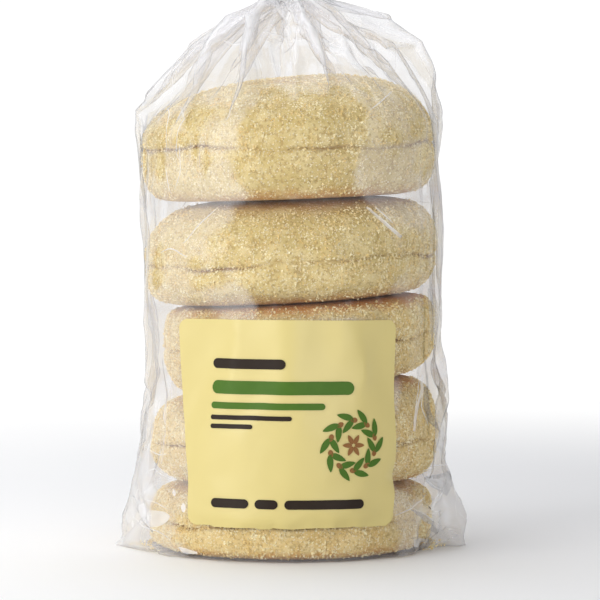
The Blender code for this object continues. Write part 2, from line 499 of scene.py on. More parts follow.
# a tube of film drawn in at the neck over the muffins by simulation
film = {
    "girth": 303.0,  # round the flat tube, millimetres
    "columns": 160,
    "neckUp": 198.0,  # from the base to the tie along the film
    "tail": 34.0,  # film above the tie
    "lean": 5.5,  # how much more film the right side has below the tie
    "neckRadius": 4.4,
    "fanOut": (0.50, 0.24),  # how fast the tail widens to the sides and to the front and back, and leans
    "fanLean": 0.20,
    "pleats": 30,
    "fanPleats": 11,
    # from the middle to a corner and to the round part, of the base and of the tube above it
    "cornerReach": 54.6,
    "roundReach": 45.9,
    "tubeReach": (51.5, 48.0),
    "baseBlend": 40,  # the height at which the base's shape has become the tube's
    # ripples of the tube: height, how many, shift and how fast they climb
    "ripples": [(0.25, 9, 0, 0.02), (0.2, 14, 1, 0.03), (0.15, 23, 2, -0.02)],
    "heldBelow": 3.2,  # the gathers are held from this far below the tie
    "tieHalf": 5.8,  # from the tie's side to its middle
    "tieUp": 173.5,
    # how long the neck is drawn in, held and left to settle
    "gatherFrames": 22,
    "holdFrames": 6,
    "settleFrames": 16,
    "scale": 10.0,  # the solver works at ten times the size
    "bending": 1.0,
    # pressure while the neck is drawn in, and while the film settles inwards below this height
    "puff": 0.4,
    "suck": -0.5,
    "suckTop": 125.0,
    # how often the facets' directions and then the points are evened out, and how unlike the
    # directions on the two sides of a fold are
    "crispPasses": 12,
    "crispUpdates": 14,
    "crispLikeness": 0.22,
    "foldSize": 1.5 * mm,  # a fold this round counts as sharp
    "clearance": 0.45 * mm,  # from the crust
    "searched": 10 * mm,  # film farther than this from the crust isn't measured
    "touching": (1.25 * mm, 0.75 * mm),  # how near the crust the film starts to look clear, and is clear
    # how far the film reaches to the left and right at some heights
    "outline": [
        (42, -47.7, 48.4), (48, -45.9, 49.3), (57, -44.3, 47.1), (64, -44.0, 46.2), (73, -44.7, 47.1),
        (82, -45.3, 46.5), (98, -45.9, 47.4), (119, -47.1, 45.7), (129, -48.2, 47.2), (135, -48.4, 47.1),
        (141, -45.0, 45.7), (150, -37.5, 43.9), (157, -31.4, 40.5), (163, -22.6, 32.6),
    ],
    # crumpled facets: how far apart their corners are round and up, and how far they stand out
    "facets": [(11.0, 15.0, 2.4), (5.0, 7.0, 1.2)],
    # where the film clings to the crust at the front: left, right, low and high
    "clings": [(-15, 21, 112, 142), (-21, 33, 79.5, 105), (33, 38, 28, 56), (-42, 42, -6, 10.5)],
    # where it lies so close that it looks clear
    "clears": [
        (-15, 18, 106, 128), (-12, 25, 119, 139), (-21, 33, 76, 113), (-10, 41, 71, 80),
        (29, 47, 19, 84), (-43, 43, -8, 15),
    ],
    # where it is crumpled and cloudy
    "clouds": [(37, 58, -4, 24), (-60, -43, -4, 28)],
}
# places where the film is drawn in or stands out: how far round from the right side and how far up
# along the film, where its middle ends up, how far it leans inwards (degrees), and how far the place
# reaches round and up (millimetres)
pinches = [
    (0.0, 63.5, (46.0, 0.0, 62.5), 0, (6.0, 2.6)),
    (151.5, 63.5, (-44.0, 0.0, 62.5), 0, (10.0, 3.4)),
    (0.0, 36.0, (48.4, -1.0, 35.0), 4, (2.6, 2.2)),
    (151.5, 136.2, (-48.6, 0.0, 134.4), 5, (2.2, 2.0)),
    (151.5, 106.0, (-45.6, 0.0, 104.5), 0, (4.0, 2.2)),
    (0.0, 149.5, (44.6, 0.0, 147.5), 14, (2.2, 2.2)),
    (0.0, 159.5, (40.2, 0.0, 156.8), 38, (2.2, 2.2)),
    (0.0, 170.0, (32.0, 0.0, 163.3), 62, (2.2, 2.2)),
    (-24.0, 23.0, (43.4, -22.0, 21.5), 0, (2.2, 2.2)),
    (176.0, 15.0, (-43.0, -22.5, 14.0), 0, (2.2, 2.2)),
]
tieHalf = film["tieHalf"] * mm
neckCentre = Vector((tieLow.x + tieHalf, tieHigh.y - tieHalf, film["tieUp"] * mm)) / mm


def tautRing(radius, corner, count):
    # evenly spaced points of film pulled straight from a circle to a corner on each side
    angle = math.acos(radius / corner)
    turn = np.linspace(angle, math.pi - angle, 400)
    upper = np.stack([radius * np.cos(turn), radius * np.sin(turn)], 1)
    upper = np.concatenate([[(corner, 0)], upper, [(-corner, 0)]])
    ring = np.concatenate([upper, -upper[1:]])
    along = lineLengths(ring)
    at = np.linspace(0, along[-1], count, endpoint=False)
    return np.stack([np.interp(at, along, ring[:, 0]), np.interp(at, along, ring[:, 1])], 1), along[-1]


def filmStart():
    # the flat tube standing round the stack, where its neck is drawn to, and what is held
    columns = film["columns"]
    tall = film["neckUp"] + film["tail"]
    ups = np.linspace(0, tall, int(columns * tall / film["girth"]))
    base, _ = tautRing(film["roundReach"], film["cornerReach"], columns)
    tubeCorner, tubeRound = film["tubeReach"]
    tube, girth = tautRing(tubeRound, tubeCorner, columns)
    tube *= film["girth"] / girth
    turn = np.linspace(0, math.tau, columns, endpoint=False)
    share = np.clip(ups / film["baseBlend"], 0, 1)[:, None, None]
    ring = base[None] * (1 - share) + tube[None] * share
    ripple = np.zeros((len(ups), columns))
    for height, waves, shift, climb in film["ripples"]:
        ripple += height * np.sin(waves * turn[None] + shift + climb * ups[:, None])
    start = np.empty((len(ups), columns, 3))
    start[..., :2] = ring * (1 + ripple[..., None] / tubeRound * share)
    start[..., 2] = ups[:, None]
    start[0, :, 2] = 0.15
    drawn = start.copy()
    above = ups[:, None] - (film["neckUp"] + film["lean"] * np.cos(turn[None]))
    held = above >= -film["heldBelow"]
    fine = 0.5 + 0.5 * np.sin(film["pleats"] * turn + 1.2 * np.sin(3 * turn) + 0.7 * np.sin(5 * turn + 1))
    coarse = film["fanPleats"] * turn + 0.9 * np.sin(2 * turn + 1) + 0.8 * np.sin(3 * turn)
    coarse = 0.5 + 0.5 * np.sin(coarse)
    coarse *= 0.8 + 0.2 * np.sin(2 * turn + 0.4) * np.sin(5 * turn)
    risen = np.clip(above - 2, 0, None)
    loose = smoothStep(0, 22, risen)
    pleat = fine[None] * (1 - loose) + coarse[None] * loose
    reach = 1.2 + (film["neckRadius"] - 1.2) * pleat
    wide, deep = (1 + share * risen / film["neckRadius"] for share in film["fanOut"])
    across, outward = reach * wide * np.cos(turn), reach * deep * np.sin(turn)
    spread = np.hypot(across, outward) * loose
    tall = np.sqrt(np.maximum(above ** 2 - spread ** 2, 0)) * np.sign(above) * 0.94
    sway = 1.2 * np.sin(3 * turn + 0.12 * risen) * loose
    neck = np.stack([
        neckCentre.x + across + sway - film["fanLean"] * risen,
        neckCentre.y + outward + sway / 2,
        neckCentre.z + tall,
    ], -1)
    drawn[held] = neck[held]
    held[0] = True
    around = np.arange(columns) / columns * film["girth"]
    bend = film["roundReach"]
    for turned, height, to, leaning, (wide, high) in pinches:
        across = (around - turned + film["girth"] / 2) % film["girth"] - film["girth"] / 2
        offUp = ups - height
        patch = np.hypot(across[None] / wide, offUp[:, None] / high) < 1
        facing = Vector((to[0], to[1], 0)).normalized()
        tangent = np.array([-facing.y, facing.x, 0])
        lean = math.radians(leaning)
        upward = np.array([-facing.x * math.sin(lean), -facing.y * math.sin(lean), math.cos(lean)])
        inward = bend * (1 - np.cos(across / bend))[:, None] * np.array(facing)
        arc = bend * np.sin(across / bend)[:, None] * tangent - inward
        spot = np.array(to) + arc[None] + offUp[:, None, None] * upward
        drawn[patch] = spot[patch]
        held |= patch
    return start, drawn, held, ups


def addCollider(name, points, faces):
    piece = addMesh(name, points, faces)
    piece.modifiers.new("block", "COLLISION")
    piece.collision.thickness_outer = 0.004
    piece.collision.thickness_inner = 0.1
    piece.collision.cloth_friction = 2.0
    piece.collision.damping = 0.9
    return piece


def drape(first, rest, held, frames, pressure, target=None, share=None):
    # lets the film settle from the first shape, with the lengths of the rest shape
    rows, columns = first.shape[:2]
    size = film["scale"] * mm
    cloth = addMesh("cloth", first * size, gridFaces(rows, columns))
    cloth.shape_key_add(name="Basis")
    restKey = cloth.shape_key_add(name="rest")
    restKey.data.foreach_set("co", (rest * size).astype(np.float32).ravel())
    pins = cloth.vertex_groups.new(name="held")
    pins.add([int(i) for i in np.nonzero(held.ravel())[0]], 1.0, "REPLACE")
    modifier = cloth.modifiers.new("cloth", "CLOTH")
    settings = modifier.settings
    values = {
        "quality": 6, "mass": 0.1, "air_damping": 4,
        "tension_stiffness": 60, "compression_stiffness": 40, "shear_stiffness": 20,
        "tension_damping": 10, "compression_damping": 10, "shear_damping": 8,
        "bending_model": "ANGULAR", "bending_stiffness": film["bending"], "bending_damping": 2,
        "vertex_group_mass": "held", "rest_shape_key": restKey,
        "use_pressure": True, "uniform_pressure_force": pressure,
    }
    for name, value in values.items():
        setattr(settings, name, value)
    settings.effector_weights.gravity = 0
    if target is not None:
        key = cloth.shape_key_add(name="drawn")
        key.data.foreach_set("co", (target * size).astype(np.float32).ravel())
        for value, at in ((0, 1), (1, film["gatherFrames"])):
            key.value = value
            key.keyframe_insert("value", frame=at)
    if share is not None:
        group = cloth.vertex_groups.new(name="pressed")
        for row, weight in enumerate(share):
            group.add(list(range(row * columns, (row + 1) * columns)), float(weight), "REPLACE")
        settings.vertex_group_pressure = "pressed"
    modifier.collision_settings.distance_min = 0.006
    modifier.point_cache.frame_end = frames
    for frameNumber in range(1, frames + 1):
        bpy.context.scene.frame_set(frameNumber)
    result = cloth.evaluated_get(bpy.context.evaluated_depsgraph_get()).data
    points = np.empty(rows * columns * 3, np.float32)
    result.vertices.foreach_get("co", points)
    bpy.context.scene.frame_set(1)
    bpy.data.objects.remove(cloth)
    return points.reshape(rows, columns, 3).astype(float) / size


def simulateFilm():
    start, drawn, held, ups = filmStart()
    blocks = []
    for index in range(len(muffins)):
        points, _, _ = muffinPoints(index, 72, 31, relief=False)
        block = addCollider(f"block{index}", points * film["scale"], gridFaces(31, 72))
        blocks.append(block)
    frames = film["gatherFrames"] + film["holdFrames"]
    gathered = drape(start, start, held, frames, film["puff"], target=drawn)
    body = smoothStep(film["suckTop"] + 14, film["suckTop"], ups)
    settled = drape(gathered, start, held, film["settleFrames"], film["suck"], share=body)
    for piece in blocks:
        bpy.data.objects.remove(piece)
    return settled * mm


def refine(grid):
    # twice as many points both ways, on a smooth curve through the old ones
    def halfway(a, b, c, d):
        return (9 * (b + c) - (a + d)) / 16
    wide = np.empty((grid.shape[0], grid.shape[1] * 2, 3))
    wide[:, ::2] = grid
    wide[:, 1::2] = halfway(*[np.roll(grid, -step, 1) for step in (-1, 0, 1, 2)])
    padded = np.concatenate([2 * wide[:1] - wide[1:2], wide, 2 * wide[-1:] - wide[-2:-1]])
    tall = np.empty((wide.shape[0] * 2 - 1, wide.shape[1], 3))
    tall[::2] = wide
    tall[1::2] = halfway(padded[:-3], padded[1:-2], padded[2:-1], padded[3:])
    return tall


def drawSides(grid):
    # brings the sides of the film to their outline
    x, z = grid[..., 0] / mm, grid[..., 2] / mm
    ups, left, right = np.array(film["outline"]).T
    steps = np.arange(ups[0] - 6, ups[-1] + 6, 2.0)
    inner = 37 * smoothStep(152, 134, z)
    share = smoothStep(ups[0] - 5, ups[0] + 2, z) * smoothStep(ups[-1] + 5, ups[-1], z)
    for sign, wanted in ((-1, left), (1, right)):
        reach = np.array([np.max(np.where(np.abs(z - at) < 1.1, sign * x, -99)) for at in steps])
        found = np.maximum(np.interp(z, steps, reach) - inner, 1)
        ratio = (sign * np.interp(z, ups, wanted) - inner) / found
        away = sign * x - inner
        moved = inner + away * (1 + (ratio - 1) * share)
        x = np.where(away > 0, sign * moved, x)
    drawn = grid.copy()
    drawn[..., 0] = x * mm
    return drawn


def crisp(grid, passes, updates, likeness):
    # evens out the gentle waves and keeps the sharp folds, as in stiff clear film
    across = np.roll(grid, -1, 1)
    facing = unit(np.cross(across[1:] - grid[:-1], grid[1:] - across[:-1]))
    for _ in range(passes):
        total = facing.copy()
        padded = np.concatenate([facing[:1], facing, facing[-1:]])
        for down in (0, 1, 2):
            for shift in (-1, 0, 1):
                near = np.roll(padded[down:down + len(facing)], shift, 1)
                unlike = np.sum((near - facing) ** 2, -1, keepdims=True)
                total += near * np.exp(-unlike / likeness ** 2)
        facing = unit(total)
    for _ in range(updates):
        across = np.roll(grid, -1, 1)
        middle = (grid[:-1] + grid[1:] + across[:-1] + across[1:]) / 4
        move = np.zeros_like(grid)
        for rows in (slice(0, -1), slice(1, None)):
            for shift in (0, 1):
                face, centre = np.roll(facing, shift, 1), np.roll(middle, shift, 1)
                move[rows] += face * np.sum(face * (centre - grid[rows]), -1, keepdims=True)
        grid = grid + move / 4
    return grid


def slopes(grid):
    # how much a grid's values change round the film and up it
    return np.roll(grid, -1, 1) - np.roll(grid, 1, 1), np.gradient(grid, axis=0)


def gridNormals(grid):
    return unit(np.cross(*slopes(grid)))


def muffinTree():
    vertices, faces = [], []
    for piece in muffinPieces:
        base = len(vertices)
        vertices.extend(v.co for v in piece.data.vertices)
        faces.extend([base + i for i in p.vertices] for p in piece.data.polygons)
    return BVHTree.FromPolygons(vertices, faces)


def clearOfMuffins(grid, tree, clearance, pull):
    # moves points until they are this far from the crust, and says how far each is
    away = np.full(grid.shape[:2], film["searched"])
    for at in np.ndindex(away.shape):
        point = Vector(grid[at])
        near, normal, _, distance = tree.find_nearest(point, film["searched"])
        if near is None:
            continue
        gap = distance if (point - near).dot(normal) > 0 else -distance
        clung = near + normal * clearance
        if gap < clearance:
            grid[at] = clung
        elif pull[at] > 0:
            grid[at] = point.lerp(clung, pull[at])
            gap = clearance + (gap - clearance) * (1 - pull[at])
        away[at] = max(gap, clearance)
    return away


def frontPatches(grid, patches, soft):
    # 1 inside each patch of the front and 0 outside, with uneven borders
    share = np.zeros(grid.shape[:2])
    x, y, z = np.moveaxis(grid / mm, -1, 0)
    places = [Vector(at) for at in grid.reshape(-1, 3)]
    shift = [7 * noise.noise(at * 55) + 2.5 * noise.noise(at * 170) for at in places]
    shift = np.array(shift).reshape(x.shape)
    for left, right, low, high in patches:
        wide, tall = (right - left) / 2, (high - low) / 2
        out = np.abs((x - left) / wide - 1) ** 3 + np.abs((z - low) / tall - 1) ** 3
        inside = (1 - out ** (1 / 3)) * min(wide, tall)
        share = np.maximum(share, smoothStep(-soft, soft, inside + shift * 0.85))
    return share * (y < 0)


def foldSigns(grid):
    # 1 along a sharp ridge of the film, -1 along a sharp valley
    bends = []
    for step, turned in zip(slopes(grid), slopes(gridNormals(grid))):
        bends.append(np.sum(step * turned, -1) / np.maximum(np.sum(step * step, -1), 1e-9))
    first, second = bends
    return np.clip(np.where(np.abs(first) > np.abs(second), first, second) * film["foldSize"], -1, 1)


def alongFilm(grid):
    # how far up the film each row is
    return np.linspace(0, (film["neckUp"] + film["tail"]) * mm, len(grid))


def facetHeights(shape, wide, tall, height):
    # flat facets between scattered corners at uneven heights, at each point of the film's grid
    rows, columns = shape
    girth, length = film["girth"], film["neckUp"] + film["tail"]
    across, up = int(girth / wide), int(length / tall) + 2
    sites, ends = np.meshgrid(np.arange(across), np.arange(up), indexing="ij")
    sites = (sites + rng.uniform(-0.42, 0.42, sites.shape)) * girth / across
    ends = (ends - 0.5 + rng.uniform(-0.42, 0.42, ends.shape)) * tall
    raised = rng.uniform(-height, height, ends.shape)
    copies = [np.stack([sites + turn * girth, ends, raised], -1) for turn in (-1, 0, 1)]
    flat = np.concatenate(copies).reshape(-1, 3)
    _, _, faces, *_ = delaunay_2d_cdt([Vector(p[:2]) for p in flat], [], [], 0, 1e-6)
    tree = BVHTree.FromPolygons(flat.tolist(), faces)
    found = np.zeros(shape)
    for row, column in np.ndindex(shape):
        start = Vector((column / columns * girth, row / (rows - 1) * length, 50))
        hit = tree.ray_cast(start, Vector((0, 0, -1)))[0]
        found[row, column] = hit.z if hit else 0
    return found


def crumple(grid, away):
    # the loose film stands in creased facets, most of all low down beside the bottom muffins
    up = grid[..., 2] / mm
    side = smoothStep(28, 44, np.abs(grid[..., 0]) / mm)
    low = smoothStep(85, 40, up) * side
    turned = np.arctan2(grid[..., 0], -grid[..., 1]) * 45
    printed = smoothStep(38, 35, np.abs(turned)) * smoothStep(9, 12, up) * smoothStep(76, 73, up)
    amount = (0.25 + 0.75 * low) * (1 - 0.85 * printed) * smoothStep(0, 4, up)
    amount *= smoothStep(1.2 * mm, 5 * mm, away)
    amount *= smoothStep(film["neckUp"] - 6, film["neckUp"] - 60, alongFilm(grid) / mm)[:, None]
    total = sum(facetHeights(grid.shape[:2], *facets) for facets in film["facets"])
    return grid + gridNormals(grid) * (total * amount)[..., None] * mm


def filmMaterial():
    shader = Shader("clearFilm")
    touch = shader.attribute("touch")
    fold = shader.attribute("fold")
    # sharp ridges get painted highlight (whiter haze, and a smoother gloss) and valleys painted shade
    # (smokier, less haze)
    ridgeHighlight = fold.between(0.3, 0.9)
    valleyShade = (fold * -1.0).between(0.3, 0.9)
    crinkle = shader.noise(55, 3, 0.5, 1.5) * 0.7
    crinkle += shader.cells(90, "DISTANCE_TO_EDGE").between(0, 0.12) * 0.3
    normal = shader.bump(crinkle, 0.32, 0.0006)
    slant = shader.node("LayerWeight", None, {"Blend": 0.35, "Normal": normal}, 1)
    tints = ((0.942, 0.941, 0.945), (0.42, 0.42, 0.43), (0.93, 0.93, 0.93))
    layers = [shader.node("BsdfTransparent", None, {"Color": tint}) for tint in tints]
    clear, smoky, shade = layers
    # the film passes less light at grazing angles, and valleys are darkened as painted shade
    dim = (slant.between(0.4, 1.0) * 0.8 + valleyShade * 0.6).clamped()
    through = shader.blend(dim, clear, smoky)
    polish = {"Color": (1.0, 1.0, 1.0), "Roughness": 0.13 + 0.1 * touch - 0.07 * ridgeHighlight, "Normal": normal}
    gloss = shader.node("BsdfGlossy", None, polish)
    facing = shader.node("Fresnel", None, {"IOR": 1.5, "Normal": normal})
    shiny = shader.blend(facing.maths("MINIMUM", facing, 0.3) - 0.028, through, gloss)
    cloudy = shader.principled((0.9, 0.9, 0.92), 0.5)
    # the film's own haze, less where it clings, with painted highlight added on ridges and taken away in
    # valleys
    hazeAndHighlight = (0.215 - 0.195 * touch + 0.22 * ridgeHighlight - 0.14 * valleyShade).clamped()
    lampRay = shader.node("LightPath", None, None, 1)
    return shader.finish(shader.blend(lampRay, shader.blend(hazeAndHighlight, shiny, cloudy), shade))


def makeFilm():
    grid = drawSides(refine(simulateFilm()))
    grid[1:] = crisp(grid, film["crispPasses"], film["crispUpdates"], film["crispLikeness"])[1:]
    tree = muffinTree()
    loose = np.zeros(grid.shape[:2])
    away = clearOfMuffins(grid, tree, film["clearance"], loose)
    grid = crumple(grid, away)
    up = grid[..., 2] / mm
    # the folds' painted highlight and shade show less on the shoulders, and their valleys' painted shade
    # less at the base
    foldsHighlightShade = foldSigns(grid) * (1 - 0.55 * smoothStep(132, 138, up) * smoothStep(156, 148, up))
    valleysShade = foldsHighlightShade * (1 - 0.6 * smoothStep(142, 150, up)) * (0.3 + 0.7 * smoothStep(2, 7, up))
    foldsHighlightShade = np.where(foldsHighlightShade < 0, valleysShade, foldsHighlightShade)
    away = clearOfMuffins(grid, tree, film["clearance"], frontPatches(grid, film["clings"], 3.0))
    touch = smoothStep(*film["touching"], away)
    touch = np.maximum(touch, frontPatches(grid, film["clears"], 1.2))
    touch -= 0.7 * frontPatches(grid, film["clouds"], 3.0) * (1 - touch)
    base = grid[0]
    middle = base.mean(0)
    shrink = [0.0, 0.03, 0.3, 0.6, 0.85, 0.97]
    below = np.stack([middle + (base - middle) * share for share in shrink])
    below[..., 2] = 0.12 * mm
    whole = np.concatenate([below, grid])
    flat = np.zeros(below.shape[:2])
    piece = addMesh("film_bag", whole, gridFaces(*whole.shape[:2]), filmMaterial())
    addValues(piece, "touch", np.concatenate([flat, touch]))
    addValues(piece, "fold", np.concatenate([flat, foldsHighlightShade]))
    placePiece(piece, "bag")
    return grid, away


filmGrid, filmAway = makeFilm()
filmNormals = gridNormals(filmGrid)
print("film drawn over the muffins")


def onGrid(row, column, lift):
    # the point of the film at this place of its grid, lifted off it
    row = np.clip(row, 0, len(filmGrid) - 1.001)
    r0, c0 = np.floor(row).astype(int), np.floor(column).astype(int)
    fr, fc = (row - r0)[..., None], (column - c0)[..., None]
    c0, c1 = c0 % filmGrid.shape[1], (c0 + 1) % filmGrid.shape[1]
    found = []
    for source in (filmGrid, filmNormals):
        low = source[r0, c0] * (1 - fc) + source[r0, c1] * fc
        high = source[r0 + 1, c0] * (1 - fc) + source[r0 + 1, c1] * fc
        found.append(low * (1 - fr) + high * fr)
    return found[0] + found[1] * lift, found[1]


def onFilm(across, up, lift):
    # the point of the film at this distance from its front line and this height along it
    column = filmGrid.shape[1] * (0.75 + np.asarray(across) / (film["girth"] * mm))
    row = np.interp(np.asarray(up), alongFilm(filmGrid), np.arange(len(filmGrid)))
    return onGrid(row, column, lift)[0]


# small sharp creases of the film, each a narrow ridge with a painted highlight, places where it is folded
# over, toned light as painted highlight or dark as painted shade, and a few small painted highlight spots
creases = {
    "width": 0.42,
    "height": 0.15,
    "edgeWidth": 0.9,
    # scattered ones, on the shoulders and the sides by turns: how many, the points along each, how far
    # the film is from the crust there, and the share of the girth left out on each side of the front
    "scattered": 90,
    "steps": 24,
    "looseFrom": 2 * mm,
    "frontShare": 0.14,
    # their heights, their lengths and how much their headings vary (degrees)
    "shoulders": ((140, 180), (10, 24), 9),
    "sides": ((4, 132), (4, 13), 38),
    # at the front: x and z of the points along each, in millimetres
    "front": [
        [(-37.2, 141), (-36.6, 136), (-37.6, 129), (-37.4, 122)],
        [(-34.0, 137), (-31.5, 133.5), (-34.0, 129), (-34.5, 122), (-33.2, 120)],
        [(-37.8, 119), (-37.0, 113), (-36.0, 110)],
        [(-33.5, 126), (-33.0, 117), (-35.0, 111)],
        [(23.2, 135), (26.0, 137), (31.2, 141.5)],
        [(22.4, 106.8), (27.9, 102.2), (33.4, 97.6)],
        [(24.7, 106.9), (28.0, 104.0), (31.0, 101.2)],
        [(-32.4, 95), (-27.5, 101), (-21.5, 106.5)],
        [(-30.5, 91), (-36.0, 94), (-40.0, 92)],
        [(39.3, 55.5), (38.0, 47), (37.2, 39.5)],
        [(40.7, 53.5), (39.5, 45.5), (42.2, 39)],
        [(45.3, 51), (46.5, 41), (46.3, 34.5)],
        [(39.5, 25.5), (44.0, 27.0), (48.0, 26.0)],
        [(39.5, 25.5), (43.5, 20.5), (47.5, 18.5)],
        [(36.5, 15.0), (41.0, 12.0), (44.2, 9.3), (44.8, 6.6)],
        [(31.0, 13.0), (36.5, 14.6), (42.0, 18.5)],
        [(47.0, 34.0), (49.0, 24.0), (51.5, 9.0)],
        [(-47.8, 17.4), (-42.0, 16.9), (-36.6, 14.4)],
        [(-48.2, 16.0), (-44.5, 12.9), (-40.5, 11.9)],
        [(-50.5, 12.0), (-46.0, 8.0), (-41.0, 7.5), (-36.0, 5.0)],
        [(-45.0, 24.0), (-41.5, 27.0), (-38.5, 24.5)],
        [(-44.5, 33.5), (-41.0, 30.5), (-37.0, 31.5)],
        [(-48.5, 30.0), (-46.5, 22.0), (-48.5, 14.0)],
    ],
    # how light (1, painted highlight) or dark (-1, painted shade) the folded place is, then the points
    # along its two edges
    "flapsAndHighlights": [
        (-1.0, [(39.9, 23.9), (43.6, 23.8), (47.5, 24.0)], [(40.2, 22.8), (44.2, 19.4), (48.1, 16.7)]),
        (-1.0, [(36.3, 14.6), (39.2, 13.3), (45.0, 8.3), (45.2, 4.2)],
         [(36.3, 14.2), (39.2, 11.8), (42.9, 7.5), (44.9, 4.2)]),
        (-0.9, [(40.1, 51.3), (41.0, 42.9), (42.7, 37.8), (43.7, 36.5)],
         [(41.2, 51.6), (43.1, 46.0), (43.5, 40.0), (44.0, 36.5)]),
        (-0.6, [(41.6, 81.0), (42.0, 73.0), (42.8, 65.0)], [(42.2, 81.0), (44.4, 74.5), (43.2, 65.0)]),
        (0.8, [(39.7, 55.0), (36.7, 38.1)], [(40.6, 54.7), (37.5, 38.1)]),
        (0.8, [(44.8, 18.2), (42.6, 13.0)], [(45.5, 18.0), (43.3, 12.9)]),
        (0.6, [(37.3, 5.3), (40.3, 4.7), (43.6, 2.2)], [(37.6, 2.9), (40.0, 1.9), (42.1, 1.2)]),
        (0.65, [(-49.0, 15.9), (-43.3, 14.7), (-37.3, 13.4), (-36.4, 12.4)],
         [(-48.4, 15.3), (-44.6, 8.6), (-41.6, 7.9), (-36.9, 11.4)]),
        (0.5, [(22.8, 106.7), (28.1, 102.2), (33.5, 97.5)], [(22.3, 106.2), (27.6, 101.4), (32.7, 96.9)]),
        (0.7, [(-34.0, 3.4), (-31.0, 3.2), (-28.0, 2.4)], [(-33.0, 1.9), (-30.5, 1.6), (-28.0, 1.3)]),
        # small bright diamonds: painted highlight spots on the film
        (1.0, [(-33.1, 15.6), (-32.3, 17.4), (-31.5, 15.6)], [(-33.1, 15.6), (-32.3, 13.8), (-31.5, 15.6)]),
        (1.0, [(-35.8, 19.9), (-35.2, 21.1), (-34.6, 19.9)], [(-35.8, 19.9), (-35.0, 18.6), (-34.6, 19.9)]),
        (1.0, [(-49.3, 7.8), (-48.8, 9.4), (-48.4, 7.8)], [(-49.3, 7.8), (-48.9, 6.2), (-48.4, 7.8)]),
        (-0.8, [(-48.0, 14.6), (-45.4, 9.4), (-42.2, 6.6)], [(-47.4, 14.4), (-44.9, 9.0), (-42.0, 7.4)]),
    ],
}


def frontPlace(x, z):
    # the place on the film's grid of a point seen from the front
    columns = filmGrid.shape[1]
    half = np.arange(columns // 2, columns)
    flat = filmGrid[:, half][..., (0, 2)]
    target = np.stack([x, z], -1)
    found = []
    for aim in target:
        near = np.argmin(np.sum((flat - aim) ** 2, -1))
        found.append((near // len(half), half[near % len(half)]))
    row, column = np.array(found, float).T

    def seen(row, column):
        return onGrid(row, column, 0)[0][:, (0, 2)]

    for _ in range(4):
        byRow = seen(row + 0.5, column) - seen(row - 0.5, column)
        byColumn = seen(row, column + 0.5) - seen(row, column - 0.5)
        miss = target - seen(row, column)
        area = byRow[:, 0] * byColumn[:, 1] - byRow[:, 1] * byColumn[:, 0]
        area = np.where(np.abs(area) < 1e-9, 1e-9, area)
        row += np.clip((miss[:, 0] * byColumn[:, 1] - miss[:, 1] * byColumn[:, 0]) / area, -1, 1)
        column += np.clip((byRow[:, 0] * miss[:, 1] - byRow[:, 1] * miss[:, 0]) / area, -1, 1)
    return row, column


def creaseRidge(row, column, width, height):
    # a narrow ridge along places of the film's grid
    base, normal = onGrid(row, column, 0.03 * mm)
    along = np.gradient(base, axis=0)
    side = unit(np.cross(normal, along))
    taper = np.sin(np.linspace(0.02, math.pi - 0.02, len(base)))[:, None] ** 0.6
    reach = side * width / 2 * taper
    return np.stack([base - reach, base + normal * height * taper, base + reach], 1)


def evenly(path, count=None):
    # evenly spaced points along a line of (x, z) points in millimetres
    path = np.array(path) * mm
    along = lineLengths(path)
    at = np.linspace(0, along[-1], count or max(int(along[-1] / (0.6 * mm)), 6))
    return np.interp(at, along, path[:, 0]), np.interp(at, along, path[:, 1])


def foldedFlap(first, second):
    # a second layer of film between two lines
    steps = np.arange(14)
    edges = []
    for line in (first, second):
        places = frontPlace(*evenly(line, len(steps)))
        edges.append([np.polyval(np.polyfit(steps, found, 2), steps) for found in places])
    share = np.linspace(0, 1, 6)[:, None]
    row, column = (a[None] * (1 - share) + b[None] * share for a, b in zip(*edges))
    return onGrid(row, column, 0.1 * mm)[0]


def makeCreases():
    layers = [(foldedFlap(first, second), tone) for tone, first, second in creases["flapsAndHighlights"]]
    ridges = []
    for path in creases["front"]:
        row, column = frontPlace(*evenly(path))
        smooth = np.ones(5) / 5
        row = np.convolve(np.pad(row, 2, "edge"), smooth, "valid")
        column = np.convolve(np.pad(column, 2, "edge"), smooth, "valid")
        ridges.append(creaseRidge(row, column, creases["width"] * mm, creases["height"] * mm))
    rowsPerMm = len(filmGrid) / (film["neckUp"] + film["tail"])
    columnsPerMm = filmGrid.shape[1] / film["girth"]
    steps, columns = creases["steps"], filmGrid.shape[1]
    half = steps // 2
    for number in range(creases["scattered"]):
        ups, lengths, varied = creases["sides" if number % 2 else "shoulders"]
        up = rng.uniform(*ups)
        length = rng.uniform(*lengths)
        heading = math.radians(rng.normal(90, varied))
        bow = rng.uniform(-0.5, 0.5)
        turned = heading + bow * np.linspace(0, length, steps) / length
        column = rng.uniform(0, columns) + np.cumsum(np.cos(turned)) * length / steps * columnsPerMm
        row = (up + np.cumsum(np.sin(turned)) * length / steps - length / 2) * rowsPerMm
        fromFront = abs(column[half] % columns / columns - 0.75)
        away = filmAway[int(row[half]), int(column[half]) % columns]
        if away < creases["looseFrom"] or fromFront < creases["frontShare"]:
            continue
        size = rng.uniform(0.5, 1.0) * mm
        ridges.append(creaseRidge(row, column, creases["width"] * size, creases["height"] * size))
    # the two edges where the flat tube was creased, toned dark along them as painted shade
    rows = np.arange(4, int(rowsPerMm * (film["neckUp"] - 8)), 1.0)
    for column in (0, columns / 2):
        place = np.full(len(rows), column)
        edge = creaseRidge(rows, place, creases["edgeWidth"] * mm, creases["height"] * mm)
        layers.append((edge, -0.6))
    # the ridges take a light tone: painted highlight along them
    layers += [(ridgeHighlight, 0.72) for ridgeHighlight in ridges]
    piece = addGrids("film_creases_highlight_shade", [layer for layer, _ in layers], bpy.data.materials["clearFilm"])
    highlightShadeTones = np.concatenate([np.full(layer.shape[:2], tone).ravel() for layer, tone in layers])
    addValues(piece, "touch", np.zeros(len(highlightShadeTones)))
    addValues(piece, "fold", highlightShadeTones)
    placePiece(piece, "bag")


